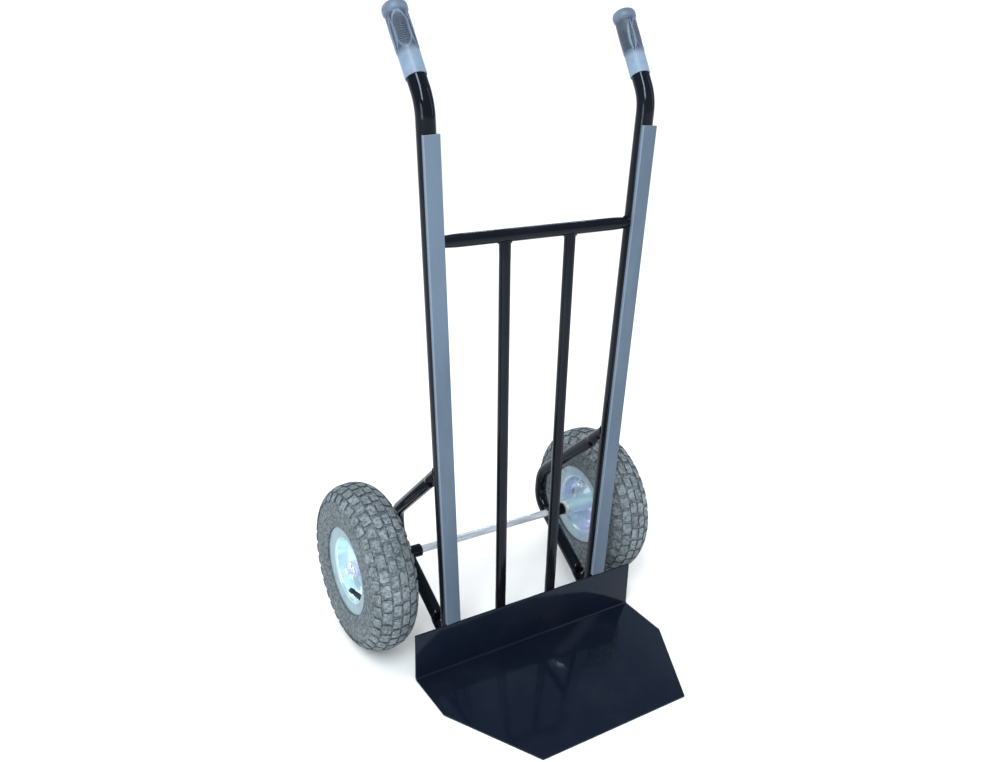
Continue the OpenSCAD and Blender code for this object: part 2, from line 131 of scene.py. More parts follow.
class Finish:
    """A material built up around one Principled shader."""

    def __init__(self, name, **fixed):
        self.material = bpy.data.materials.new(name)
        self.material.use_nodes = True
        self.tree = self.material.node_tree
        self.shader = self.tree.nodes["Principled BSDF"]
        for key, value in fixed.items():
            self.feed(self.shader.inputs[key.replace("_", " ").title().replace("Ior", "IOR")], value)
        self.place = self.node("ShaderNodeTexCoord", output="Object")

    def feed(self, socket, value):
        if isinstance(value, Value):
            self.tree.links.new(value.socket, socket)
        elif isinstance(value, tuple) and len(value) == 3 and socket.type == "RGBA":
            socket.default_value = (*value, 1.0)
        else:
            socket.default_value = value

    def node(self, kind, settings=None, inputs=None, output=0):
        made = self.tree.nodes.new(kind)
        for key, value in (settings or {}).items():
            setattr(made, key, value)
        for key, value in (inputs or {}).items():
            self.feed(made.inputs[key], value)
        return Value(self, made.outputs[output])

    def math(self, operation, *terms):
        return self.node("ShaderNodeMath", {"operation": operation}, dict(enumerate(terms)))

    def mix(self, low, high, amount):
        """Colour low where amount is 0 and colour high where it is 1."""
        return self.node("ShaderNodeMix", {"data_type": "RGBA"}, {0: amount, 6: low, 7: high}, 2)

    def noise(self, scale, detail=3.0, roughness=0.5, stretch=(1, 1, 1)):
        place = self.place
        if stretch != (1, 1, 1):
            place = self.node("ShaderNodeMapping", None, {"Vector": place, "Scale": stretch})
        return self.node("ShaderNodeTexNoise", None,
                         {"Vector": place, "Scale": scale, "Detail": detail, "Roughness": roughness})

    def attribute(self, name):
        return self.node("ShaderNodeAttribute", {"attribute_name": name}, None, "Fac")

    def set(self, **inputs):
        for key, value in inputs.items():
            self.feed(self.shader.inputs[key.replace("_", " ")], value)
        return self

    def bump(self, height, distance, strength=1.0):
        self.set(Normal=self.node("ShaderNodeBump", None,
                                  {"Strength": strength, "Distance": distance, "Height": height}))
        return self


def enamel(name, colour, dust, haze):
    """Glossy paint with a faint orange peel, a little dust and hazy rubbed places."""
    paint = Finish(name, specular_ior_level=0.30, specular_tint=(0.80, 0.90, 1.0))
    rubbed = paint.noise(9.0, 4.0, 0.6).between(0.45, 0.75)
    specks = paint.noise(900.0, 2.0, 0.5).between(0.68, 0.76) * rubbed
    streaks = paint.noise(60.0, 4.0, 0.65, (1, 1, 0.12)).between(0.5, 0.8)
    paint.set(Base_Color=paint.mix(colour, dust, specks * 0.4 + rubbed * 0.03),
              Roughness=0.08 + rubbed * haze + streaks * 0.03)
    return paint.bump(paint.noise(420.0, 1.0) + paint.noise(70.0, 1.0) * 2.0, 0.00003)


def plated(name, pale, tint, roughness, drifting=0.8):
    """Bright chalky zinc plate, with a passivated tint that drifts over it, and painted shade darkening the
    flange ring by the tyre, which is also rougher.
    """
    metal = Finish(name, metallic=0.66)
    drift = metal.noise(16.0, 1.0, 0.4).between(0.48, 0.68)
    bloom = metal.noise(60.0, 3.0, 0.55).between(0.52, 0.75)
    flange_painted_shade = metal.attribute("flange_painted_shade")
    clean = metal.mix(metal.mix(pale, tint, drift * drifting), (0.97, 1.0, 1.0), bloom * 0.3)
    # The flange mask darkens the ring by the tyre: painted shade.
    metal.set(Base_Color=metal.mix(clean, (0.26, 0.37, 0.41), flange_painted_shade * (0.75 + bloom * 0.25)),
              Roughness=roughness + bloom * 0.05 + metal.noise(500.0, 2.0) * 0.03 + flange_painted_shade * 0.16)
    return metal.bump(metal.noise(140.0, 2.0), 0.00004)


def moulded(name, colour, pale, roughness, grain=700.0):
    """Moulded plastic or rubber with a fine grain and paler handled places."""
    stuff = Finish(name)
    worn = stuff.noise(35.0, 4.0, 0.6).between(0.45, 0.7)
    stuff.set(Base_Color=stuff.mix(colour, pale, worn * 0.6),
              Roughness=roughness + worn * 0.08 - stuff.noise(grain, 1.0) * 0.06)
    return stuff.bump(stuff.noise(grain, 2.0), 0.00008)


def handled_rubber():
    """Grip rubber: dark in its own tone under the palm pad, with a painted sheen: pale on the lower sleeve,
    towards the top, round the pad, on each ridge's crest and on the groove's flanks.
    """
    grip = Finish("grip_rubber", sheen_weight=0.5, sheen_roughness=0.35, sheen_tint=(0.62, 0.78, 1.0))
    painted_sheen = grip.attribute("painted_sheen")
    cloud = grip.noise(45.0, 4.0, 0.6).between(0.3, 0.75)
    base = grip.mix((0.030, 0.040, 0.064), (0.058, 0.076, 0.110), cloud)
    # This mask mixes in a pale blue as a painted sheen highlight.
    grip.set(Base_Color=grip.mix(base, (0.20, 0.275, 0.375), painted_sheen * (0.75 + cloud * 0.25)),
             Roughness=0.40 + cloud * 0.10 - grip.noise(800.0, 1.0) * 0.05)
    return grip.bump(grip.noise(800.0, 2.0), 0.00008)


def strip_plastic():
    """Matte extruded strip: fine drawn lines along it, small scuffs, paler rubbed side edges and a painted
    highlight on its top end.
    """
    strip = Finish("strip_plastic", specular_ior_level=0.35)
    lines = strip.noise(900.0, 2.0, 0.5, (1, 1, 0.03))
    cloud = strip.noise(14.0, 4.0, 0.55, (1, 1, 0.35)).between(0.35, 0.7)
    scuffs = strip.noise(160.0, 3.0, 0.7, (1, 1, 0.5)).between(0.66, 0.76)
    base = strip.mix((0.086, 0.122, 0.170), (0.116, 0.162, 0.222), cloud)
    # The edge mask pales the rubbed side edges, and the top end as a painted highlight.
    strip.set(Base_Color=strip.mix(base, (0.20, 0.26, 0.34), scuffs * 0.45 + strip.attribute("edge") * 0.7),
              Roughness=0.52 + cloud * 0.1 - scuffs * 0.08)
    return strip.bump(lines, 0.00005)


def tyre_rubber():
    """Dusty tyre: pale dust on the block tops and in the mould's flats, and painted shade darkening the block
    walls.
    """
    tyre = Finish("tyre_rubber", specular_ior_level=0.4)
    top = tyre.attribute("top")
    cloud = tyre.noise(24.0, 4.0, 0.6).between(0.3, 0.7)
    mottle = tyre.noise(210.0, 5.0, 0.75).between(0.42, 0.62)
    grit = tyre.noise(900.0, 2.0, 0.6).between(0.48, 0.68)
    dusty = tyre.mix((0.19, 0.225, 0.245), (0.33, 0.385, 0.43), cloud * 0.5 + grit * 0.5)
    # Low top values, on the block walls, take deeper mottle and the dark colour below as painted shade.
    worn = tyre.mix(dusty, (0.055, 0.072, 0.074), mottle * (1.15 - top * 0.45))
    tyre.set(Base_Color=tyre.mix((0.034, 0.042, 0.046), worn, top), Roughness=0.55 + mottle * 0.25)
    return tyre.bump(mottle + grit * 0.5, 0.00030)


black = enamel("black_enamel", (0.0040, 0.0040, 0.0062), (0.10, 0.10, 0.11), 0.05)
navy = enamel("plate_enamel", (0.0046, 0.0070, 0.0150), (0.12, 0.12, 0.13), 0.05)
slate = strip_plastic()
grip_rubber = handled_rubber()
tread = tyre_rubber()
zinc = plated("rim_zinc", (0.78, 0.97, 1.0), (0.70, 0.68, 0.97), 0.20)
bright = plated("bright_steel", (0.93, 0.96, 0.99), (0.82, 0.85, 0.95), 0.18, 0.4)
bolt_zinc = plated("bolt_zinc", (0.86, 0.96, 0.99), (0.86, 0.86, 0.82), 0.22)
valve_rubber = moulded("valve_rubber", (0.012, 0.012, 0.013), (0.05, 0.05, 0.05), 0.50)
tube_rubber = moulded("tube_rubber", (0.016, 0.016, 0.016), (0.10, 0.10, 0.095), 0.60)
bush_nylon = moulded("bush_nylon", (0.60, 0.60, 0.54), (0.36, 0.34, 0.29), 0.45)
cage_nylon = moulded("cage_nylon", (0.03, 0.06, 0.10), (0.06, 0.10, 0.15), 0.40)

# ---- Building ----


def mirrored(bm, scale):
    bmesh.ops.scale(bm, vec=scale, verts=bm.verts)
    bmesh.ops.reverse_faces(bm, faces=bm.faces)


def finished(name, bm, finish, body, replaced=(), side=1, crease=32):
    """Turns a shape made for the right side into a piece that rides on a body."""
    if side < 0:
        mirrored(bm, (-1, 1, 1))
    mesh = bpy.data.meshes.new(name)
    bm.to_mesh(mesh)
    bm.free()
    mesh.shade_smooth()
    mesh.set_sharp_from_angle(angle=math.radians(crease))
    mesh.materials.append(finish.material)
    piece = bpy.data.objects.new(name, mesh)
    scene.collection.objects.link(piece)
    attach(piece, body)
    if replaced:
        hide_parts(*replaced)
    return piece


def in_rail_plane():
    """Z up the right rail, Y to the truck's back, from where the rail's line meets the floor."""
    return Matrix.Translation((RAIL_X0, RAIL_Y, 0)) @ Matrix.Rotation(SPLAY, 4, "Y")


def wheel_frame(x=WHEEL_X):
    """Z along the axle to the right, X down, from a place on the axle."""
    return Matrix.Translation((x, AXLE_Y, AXLE_Z)) @ Matrix.Rotation(math.pi / 2, 4, "Y")


def outward(bm):
    bmesh.ops.remove_doubles(bm, verts=bm.verts, dist=1e-7)
    bmesh.ops.recalc_face_normals(bm, faces=bm.faces)
    return bm


def soften(bm, width, segments, angle):
    """Rounds every edge sharper than the angle."""
    sharp = [e for e in bm.edges if e.is_manifold and e.calc_face_angle(0) > math.radians(angle)]
    bmesh.ops.bevel(bm, geom=sharp, offset=width, segments=segments, profile=0.5, affect="EDGES",
                    material=-1, clamp_overlap=True)
    return bm


def turned(profile, steps):
    """Spins a closed profile of (radius, height) about Z."""
    bm = bmesh.new()
    verts = [bm.verts.new((r, 0, z)) for r, z in profile]
    edges = [bm.edges.new(pair) for pair in zip(verts, verts[1:] + verts[:1])]
    bmesh.ops.spin(bm, geom=verts + edges, cent=(0, 0, 0), axis=(0, 0, 1), angle=2 * math.pi, steps=steps,
                   use_merge=True)
    return outward(bm)


def hollow(bm, wall):
    """Gives an open shell a wall on its inside."""
    bmesh.ops.recalc_face_normals(bm, faces=bm.faces)
    bmesh.ops.solidify(bm, geom=bm.faces[:], thickness=wall)
    return bm


def bent_tube(corners, bend, radius, wall, rings=8, segments=48, arc_steps=18):
    """A tube in the YZ plane along (y, z) corners, with several rings in each straight."""
    bm = bmesh.new()
    points = [Vector((0, y, z)) for y, z in corners]
    way = (points[1] - points[0]).normalized()
    bmesh.ops.create_circle(bm, cap_ends=False, segments=segments, radius=radius)
    aim = AXIS_Z.rotation_difference(way).to_matrix().to_4x4()
    bmesh.ops.transform(bm, matrix=Matrix.Translation(points[0]) @ aim, verts=bm.verts)
    end = bm.edges[:]
    at = points[0].copy()
    for i in range(1, len(points)):
        last = i == len(points) - 1
        after = way if last else (points[i + 1] - points[i]).normalized()
        turn = way.angle(after)
        span = (points[i] - at).length - bend * math.tan(turn / 2)
        for _ in range(rings):
            moved = bmesh.ops.extrude_edge_only(bm, edges=end)["geom"]
            end = [g for g in moved if isinstance(g, bmesh.types.BMEdge)]
            end = [e for e in end if all(v in moved for v in e.verts) and e.is_boundary]
            bmesh.ops.translate(bm, vec=way * span / rings, verts=list({v for e in end for v in e.verts}))
        if last:
            break
        start = at + way * span
        axis = way.cross(after).normalized()
        centre = start + axis.cross(way) * bend
        ring = list({v for e in end for v in e.verts}) + end
        last_ring = bmesh.ops.spin(bm, geom=ring, cent=centre, axis=axis, angle=turn, steps=arc_steps)
        end = [g for g in last_ring["geom_last"] if isinstance(g, bmesh.types.BMEdge)]
        at = points[i] + after * bend * math.tan(turn / 2)
        way = after
    outward(bm)
    return hollow(bm, wall) if wall else bm


def straight_tube(start, end, radius, wall, rings=12, segments=40):
    """A tube from one point to another."""
    way = Vector(end) - Vector(start)
    bm = bent_tube([(0, 0), (0, way.length)], 0, radius, wall, rings, segments)
    aim = AXIS_Z.rotation_difference(way).to_matrix().to_4x4()
    bmesh.ops.transform(bm, matrix=Matrix.Translation(start) @ aim, verts=bm.verts)
    return bm


def moved(bm, matrix):
    bmesh.ops.transform(bm, matrix=matrix, verts=bm.verts)
    return bm


def joined(*shapes):
    """Puts several shapes into the first one."""
    first = shapes[0]
    for other in shapes[1:]:
        mesh = bpy.data.meshes.new("part")
        other.to_mesh(mesh)
        other.free()
        first.from_mesh(mesh)
        bpy.data.meshes.remove(mesh)
    return first


def bead(points, radius):
    """A closed weld bead along points, rippled as the weld was laid."""
    bm = bmesh.new()
    count = len(points)
    rings = []
    for i, at in enumerate(points):
        way = (points[(i + 1) % count] - points[i - 1]).normalized()
        size = radius * (1 + 0.16 * math.sin(i * 2.1) + 0.08 * math.sin(i * 0.7))
        aim = AXIS_Z.rotation_difference(way).to_matrix().to_4x4()
        made = bmesh.ops.create_circle(bm, cap_ends=False, segments=8, radius=size,
                                       matrix=Matrix.Translation(at) @ aim)
        rings.append(made["verts"])
    for i in range(count):
        here, after = rings[i], rings[(i + 1) % count]
        shift = min(range(8), key=lambda k: (after[k].co - here[0].co).length)
        up, down = ((after[(shift + k) % 8].co - here[1].co).length for k in (1, -1))
        flip = up > down
        step = -1 if flip else 1
        for k in range(8):
            bm.faces.new((here[k], here[(k + 1) % 8], after[(shift + step * (k + 1)) % 8],
                          after[(shift + step * k) % 8]))
    bmesh.ops.recalc_face_normals(bm, faces=bm.faces)
    return bm


def around(centre, along, out, r_along, r_out=None, count=40):
    """Points of an ellipse about a centre, in the plane of two directions."""
    r_out = r_out or r_along
    return [centre + along * r_along * math.cos(t) + out * r_out * math.sin(t)
            for t in (2 * math.pi * i / count for i in range(count))]


# ---- Toe plate ----


def toe_plate():
    bm = bmesh.new()
    half = PLATE_W / 2
    front = bm.edges.new([bm.verts.new((x, -PLATE_DEPTH, 0)) for x in (-half, half)])

    def drawn(edge, vec):
        geom = bmesh.ops.extrude_edge_only(bm, edges=[edge])["geom"]
        verts = [g for g in geom if isinstance(g, bmesh.types.BMVert)]
        bmesh.ops.translate(bm, vec=vec, verts=verts)
        return next(g for g in geom if isinstance(g, bmesh.types.BMEdge) and all(v in verts for v in g.verts))

    outer = FOLD_R + SHEET
    edge = drawn(front, (0, PLATE_DEPTH - FOLD_R, 0))
    last = bmesh.ops.spin(bm, geom=list(edge.verts) + [edge], cent=(0, -FOLD_R, outer), axis=(1, 0, 0),
                          angle=math.pi / 2, steps=10)["geom_last"]
    edge = next(g for g in last if isinstance(g, bmesh.types.BMEdge))
    drawn(edge, (0, 0, UPSTAND_H - outer))
    outward(bm)
    for side in (-1, 1):
        corner = Vector((side * half, -PLATE_SIDE, 0))
        along = Vector((side * PLATE_FRONT_W / 2, -PLATE_DEPTH, 0)) - corner
        away = Vector((-along.y, along.x, 0))
        if away.dot(Vector((side, -1, 0))) < 0:
            away = -away
        flat = [f for f in bm.faces if f.calc_center_median().y < -FOLD_R - 0.001]
        geom = list({g for f in flat for g in [f, *f.edges, *f.verts]})
        bmesh.ops.bisect_plane(bm, geom=geom, plane_co=corner, plane_no=away, clear_outer=True)
    for f in bm.faces:
        if f.calc_center_median().z < 1e-6 and f.normal.z > 0:
            bmesh.ops.reverse_faces(bm, faces=bm.faces)
            break
    bmesh.ops.solidify(bm, geom=bm.faces[:], thickness=SHEET)
    outward(bm)
    soften(bm, 0.0005, 2, 50)
    moved(bm, Matrix.Translation((0, UPSTAND_Y, 0)))
    spots = []
    for side in (-1, 1):
        spot = turned([(0, 0.0008), (0.0008, 0.0006), (0.0013, 0.0001), (0.0014, -0.0004), (0, -0.0004)], 20)
        place = Matrix.Translation((side * rail_x(0.05), UPSTAND_Y, 0.052))
        moved(spot, place @ Matrix.Rotation(math.pi / 2, 4, "X"))
        spots.append(spot)
    finished("toe_plate_folded", joined(bm, *spots), navy, "frame", ["toe_plate"])


toe_plate()

# ---- Frame tubes ----


def squeezed(bm, centre, way, reach, across, flat, wide):
    """Presses a tube's end flat along one direction, and lets it spread along the third."""
    way, across = way.normalized(), across.normalized()
    third = way.cross(across)
    for v in bm.verts:
        rel = v.co - centre
        t = rel.dot(way)
        if -0.02 < t < reach:
            k = eased(clamped(1 - t / reach))
            a, b = rel.dot(across), rel.dot(third)
            v.co = centre + way * t + across * a * (1 + (flat - 1) * k) + third * b * (1 + (wide - 1) * k)


def rails():
    for side, word in SIDES:
        top = (HANDLE_LEN * math.sin(HANDLE_TILT), HANDLE_Z + HANDLE_LEN * math.cos(HANDLE_TILT))
        tube = bent_tube([(0, RAIL_FOOT), (0, HANDLE_Z), top], HANDLE_R, RAIL_R, RAIL_WALL)
        finished("rail_tube_" + word, moved(tube, in_rail_plane()), black, "frame",
                 ["rail_" + word], side)


def strips():
    for side, word in SIDES:
        start = (UPSTAND_H + SEAT_GAP) / math.cos(SPLAY) + STRIP_W / 2 * math.tan(SPLAY)
        top = STRIP_TOP / math.cos(SPLAY)
        front = -(RAIL_R + SEAT_GAP + STRIP_T)
        half, inner, back = STRIP_W / 2, STRIP_W / 2 - STRIP_T, front + STRIP_T + STRIP_FLANGE
        bm = bmesh.new()
        outline = [(-half, front), (half, front), (half, back), (inner, back), (inner, front + STRIP_T),
                   (-inner, front + STRIP_T), (-inner, back), (-half, back)]
        face = bm.faces.new([bm.verts.new((x, y, start)) for x, y in outline])
        made = bmesh.ops.extrude_face_region(bm, geom=[face])["geom"]
        raised = [g for g in made if isinstance(g, bmesh.types.BMVert)]
        bmesh.ops.translate(bm, vec=(0, 0, top - start), verts=raised)
        outward(bm)
        soften(bm, 0.0006, 3, 40)
        # Edge mask: the rubbed side edges at the front, and the top end as a painted highlight.
        layer = bm.verts.layers.float.new("edge")
        for v in bm.verts:
            near_side = half - abs(v.co.x) < 0.0004 and v.co.y < front + 0.0007
            v[layer] = 1.0 if near_side or top - v.co.z < 0.0004 else 0.0
        finished("wear_strip_channel_" + word, moved(bm, in_rail_plane()), slate, "frame",
                 ["wear_strip_" + word], side)


def crossbar():
    reach = rail_x(CROSSBAR_Z) - RAIL_R * 0.86
    bm = straight_tube((-reach, RAIL_Y, CROSSBAR_Z), (reach, RAIL_Y, CROSSBAR_Z), CROSSBAR_R, 0, 40)
    for side in (-1, 1):
        squeezed(bm, Vector((side * reach, RAIL_Y, CROSSBAR_Z)), Vector((-side, 0, 0)), 0.028,
                 AXIS_Z, 0.86, 1.10)
    bmesh.ops.holes_fill(bm, edges=bm.edges, sides=0)
    beads = []
    for side in (-1, 1):
        ring = []
        for p in around(ORIGIN, AXIS_Y, AXIS_Z, CROSSBAR_R * 1.10, CROSSBAR_R * 0.90):
            z = CROSSBAR_Z + p.z
            x = rail_x(z) - math.sqrt(max(RAIL_R ** 2 - p.y ** 2, 0)) / math.cos(SPLAY)
            ring.append(Vector((side * (x - 0.0004), RAIL_Y + p.y, z)))
        beads.append(bead(ring, 0.0019))
    finished("crossbar_tube", joined(bm, *beads), black, "frame", ["crossbar"])


def inner_bars():
    for side, word in SIDES:
        way = (BAR_TOP - BAR_FOOT).normalized()
        top = BAR_TOP - way * (CROSSBAR_R * 0.9)
        bm = straight_tube(BAR_FOOT, top, BAR_R, 0, 60)
        squeezed(bm, top, -way, 0.022, AXIS_Y, 0.84, 1.10)
        squeezed(bm, BAR_FOOT, way, 0.075, AXIS_Y, 0.80, 1.08)
        bmesh.ops.holes_fill(bm, edges=bm.edges, sides=0)
        ring = []
        for p in around(ORIGIN, AXIS_X, AXIS_Y, BAR_R * 1.10, BAR_R * 0.86):
            down = math.sqrt(max(CROSSBAR_R ** 2 - p.y ** 2, 0))
            ring.append(Vector((BAR_TOP.x + p.x, RAIL_Y + p.y, CROSSBAR_Z - down - 0.0003)))
        rising = [0.03 + 0.0018 * k for k in range(24)]
        lower = [Vector((BAR_FOOT.x + 0.0028 + edge * 0.0062, UPSTAND_Y + SHEET + 0.0016, z))
                 for edge, run in ((-1, rising), (1, rising[::-1])) for z in run]
        finished("inner_bar_tube_" + word, joined(bm, bead(ring, 0.0016), bead(lower, 0.0015)), black,
                 "frame", ["inner_bar_" + word], side)


def scooped(bm, foot, way, press, reach):
    """Presses one side of a tube's end in like a spoon, as its weld end is dished before welding."""
    for v in bm.verts:
        rel = v.co - foot
        t, out = rel.dot(way), rel.dot(press)
        if not -0.02 < t < reach:
            continue
        k = eased(clamped((reach - t) / 0.011))
        wide = min(1.0, abs(v.co.x) / BRACKET_R)
        side = clamped(out / BRACKET_R + 0.35)
        v.co -= press * side * k * (0.0128 * (1 - wide * wide) + 0.0010)
        v.co.x *= 1 + 0.14 * k


def wheel_brackets():
    for side, word in SIDES:
        points = [Vector((0, y, z)) for y, z in BRACKET]
        upper, lower = (points[1] - points[0]).normalized(), (points[2] - points[3]).normalized()
        bm = bent_tube(BRACKET, BRACKET_BEND, BRACKET_R, 0, 80, 56, 20)
        scooped(bm, points[0], upper, Vector((0, upper.z, -upper.y)), 0.052)
        scooped(bm, points[3], lower, Vector((0, -lower.z, lower.y)), 0.050)
        bmesh.ops.holes_fill(bm, edges=bm.edges, sides=0)
        rings = []
        for point, way, shift in ((points[0], upper, 0.0022), (points[3], lower, -0.0022)):
            slope = AXIS_Z.angle(way)
            tall = BRACKET_R * 0.78 / math.sin(slope)
            ring = []
            for p in around(ORIGIN, AXIS_X, AXIS_Z, BRACKET_R * 1.10, tall):
                y = math.sqrt(max(RAIL_R ** 2 - p.x ** 2, 0)) + 0.0006
                ring.append(Vector((p.x, y, point.z + shift + p.z + way.z / way.y * y)))
            rings.append(bead(ring, 0.0019))
        finished("wheel_bracket_tube_" + word, moved(joined(bm, *rings), in_rail_plane()), black,
                 "frame", ["wheel_bracket_" + word], side)


def axle_sleeves():
    arm = Vector((0, BRACKET[2][0] - BRACKET[3][0], BRACKET[2][1] - BRACKET[3][1])).normalized()
    down = Vector((0, arm.z, -arm.y))
    for side, word in SIDES:
        bore, rim = AXLE_R + 0.0004, SLEEVE_R - 0.0008
        ring = [(bore, 0), (rim, 0), (SLEEVE_R, 0.0008), (SLEEVE_R, SLEEVE_LEN - 0.0008),
                (rim, SLEEVE_LEN), (bore, SLEEVE_LEN)]
        bm = moved(turned(ring, 48), wheel_frame(SLEEVE_IN))
        touch = Vector((rail_x(SLEEVE_TOUCH_Z), AXLE_Y, AXLE_Z)) + down * SLEEVE_R
        seam = []
        for p in around(ORIGIN, AXIS_X, arm, 0.0070, 0.0050):
            drop = BRACKET_R - math.sqrt(BRACKET_R ** 2 - p.x ** 2)
            seam.append(touch + p + down * (0.5 * drop - 0.0004))
        finished("axle_sleeve_turned_" + word, joined(bm, bead(seam, 0.0020)), black, "frame",
                 ["axle_sleeve_" + word], side)


rails()
strips()
crossbar()
inner_bars()
wheel_brackets()
axle_sleeves()

# ---- Grips ----


def grip_radius(h):
    """The grip's outside, from its open end at 0 to its closed end."""
    points = [(0, GRIP_R - 0.0004), (0.0006, GRIP_R), (0.033, GRIP_R + 0.0001), (0.0345, GRIP_R + 0.0007),
              (0.060, GRIP_TOP_R), (0.078, GRIP_TOP_R - 0.0002), (0.0815, GRIP_TOP_R - 0.0006),
              (0.0855, GRIP_FLANGE_R - 0.0004), (0.0885, GRIP_FLANGE_R), (0.0915, GRIP_FLANGE_R - 0.0002),
              (0.0945, GRIP_FLANGE_R - 0.0015), (0.0965, GRIP_FLANGE_R - 0.0042), (0.0976, 0.0080),
              (GRIP_LEN, 0.0)]
    for (h0, r0), (h1, r1) in zip(points, points[1:]):
        if h <= h1:
            t = (h - h0) / (h1 - h0)
            t = eased(t) if h < 0.09 else t
            return r0 + (r1 - r0) * t
    return 0.0


def grips():
    for side, word in SIDES:
        heights = [0.0007 * k for k in range(136)]
        heights += [0.0955, 0.0960, 0.0965, 0.0970, 0.0974, 0.0977, 0.0979]
        profile = [(grip_radius(h), h) for h in heights] + [(0.0, GRIP_LEN)]
        floor, bore = GRIP_LEN - GRIP_CAP + SEAT_GAP, RAIL_R + SEAT_GAP
        profile += [(0.0, floor), (bore, floor), (bore, 0.0)]
        bm = turned(profile, 160)
        # This layer holds the grip's painted sheen and the groove's painted shade.
        layer = bm.verts.layers.float.new("painted_sheen")
        for v in bm.verts:
            radius = math.hypot(v.co.x, v.co.y)
            h = v.co.z
            # Painted sheen on the lower sleeve, fading up it, and a weaker one towards the top.
            v[layer] = clamped((0.037 - h) / 0.010) if h < 0.06 else clamped((h - 0.080) / 0.01, 0.45)
            if radius < RAIL_R + 0.0008 or h > 0.0835:
                continue
            angle = math.atan2(v.co.x, -v.co.y) - PAD_TURN
            angle = (angle + math.pi) % (2 * math.pi) - math.pi
            w = angle * radius
            oval = math.hypot(w / PAD_HALF_W, (h - PAD_MID) / PAD_HALF_H)
            sink = 0.0
            if oval < 1.0:
                wave = abs(math.sin(math.pi * w / 0.0062)) * 0.0011
                ridge = math.sin(2 * math.pi * (h + wave) / RIDGE_PITCH)
                fade = min(1.0, (1 - oval) * 6)
                sink = 0.0007 - 0.0006 * ridge * fade
                # Painted highlight on each ridge's crest, and round the pad's rim.
                v[layer] = 0.35 * max(0.0, ridge) * fade
            elif oval < 1.16:
                v[layer] = 0.45
            sink += 0.0006 * math.exp(-((oval - 1.05) / 0.05) ** 2)
            t = (h - 0.0565) / 0.0255
            if abs(t) < 1:
                lens = 0.0019 * (1 - t * t) * (1.25 - 0.5 * t)
                across = (abs(w) - 0.0140 + 0.0014 * t) / max(lens, 1e-5)
                sink += 0.0013 * max(0.0, 1 - across ** 2)
                # Painted shade along the groove, painted highlight on its flanks.
                if abs(across) < 2.4:
                    v[layer] = 0.0 if abs(across) < 0.9 else max(v[layer], 0.55)
            scale = (radius - sink) / radius
            v.co.x *= scale
            v.co.y *= scale
        place = in_rail_plane() @ Matrix.Translation((0, 0, HANDLE_Z)) @ Matrix.Rotation(-HANDLE_TILT, 4, "X")
        place = place @ Matrix.Translation((0, 0, HANDLE_LEN - GRIP_LEN + GRIP_CAP + SEAT_GAP))
        finished("grip_moulded_" + word, moved(bm, place), grip_rubber, "frame",
                 ["grip_" + word], side, 50)


grips()

# ---- Axle ----


def axle_parts():
    rod = [(0, -AXLE_HALF), (AXLE_R - 0.001, -AXLE_HALF), (AXLE_R, -AXLE_HALF + 0.001),
           (AXLE_R, AXLE_HALF - 0.001), (AXLE_R - 0.001, AXLE_HALF), (0, AXLE_HALF)]
    finished("axle_rod", moved(turned(rod, 64), wheel_frame(0)), bright, "axle", ["axle"])
    for name, x, node in (("washers_inner", SLEEVE_IN + SLEEVE_LEN + 0.0003, "inner_washers"),
                          ("washers_outer", HUB_OUT + 0.0003, "outer_washers")):
        pair = []
        for side in (-1, 1):
            ring = [(AXLE_R + 0.0005, 0), (0.0107, 0), (0.011, 0.0003), (0.011, 0.0017), (0.0107, 0.002),
                    (AXLE_R + 0.0005, 0.002)]
            bm = moved(turned(ring, 48), wheel_frame(x))
            if side < 0:
                mirrored(bm, (-1, 1, 1))
            pair.append(bm)
        finished(name, joined(*pair), bright, "axle", [node])


axle_parts()

# ---- Wheels ----


def section(radius_mid, half_h, half_w, power, a):
    """A point (radius, x) of a rounded tyre section, at angle a from its crown."""
    c, s = math.cos(a), math.sin(a)
    return (radius_mid + half_h * math.copysign(abs(c) ** (2 / power), c),
            half_w * math.copysign(abs(s) ** (2 / power), s))


def carcass_point(a):
    return section(CROWN_MID, TYRE_R - BLOCK_TALL - CROWN_MID, TYRE_W / 2 - 0.0015, 2.3, a)


def carcass_line():
    """(distance, angle) pairs over the carcass, from its crown to its bead."""
    line, length, last = [], 0.0, carcass_point(0)
    for i in range(401):
        a = math.radians(130) * i / 400
        here = carcass_point(a)
        length += math.hypot(here[0] - last[0], here[1] - last[1])
        line.append((length, a))
        last = here
    return line


CARCASS = carcass_line()


def carcass_at(s, lift):
    """(radius, x) at distance s over the carcass from the crown, raised by lift."""
    a = next((a for length, a in CARCASS if length >= abs(s)), CARCASS[-1][1])
    r, x = carcass_point(a)
    r1, x1 = carcass_point(a + 0.01)
    r0, x0 = carcass_point(max(a - 0.01, 0.0))
    slope = Vector((r1 - r0, x1 - x0)).normalized()
    r, x = r + slope.y * lift, x - slope.x * lift
    return r, math.copysign(x, s) if s else x


def side_rib(s):
    """Fine raised rings on the sidewall, and the rim line by the bead."""
    return sum(tall * math.exp(-((abs(s) - at) / 0.0007) ** 2)
               for at, tall in ((0.0475, 0.0006), (0.0500, 0.0006), (0.0640, 0.0007), (0.0715, 0.0008)))


# Each row of blocks: its place across the tread, its share of a pitch round it, block length and width.
TREAD = ((-0.0066, 0.0, 0.0176, 0.0112), (0.0066, 0.12, 0.0176, 0.0112), (-0.0205, 0.50, 0.0184, 0.0128),
         (0.0205, 0.62, 0.0184, 0.0128), (-0.0352, 0.05, 0.0160, 0.0130), (0.0352, 0.17, 0.0160, 0.0130))


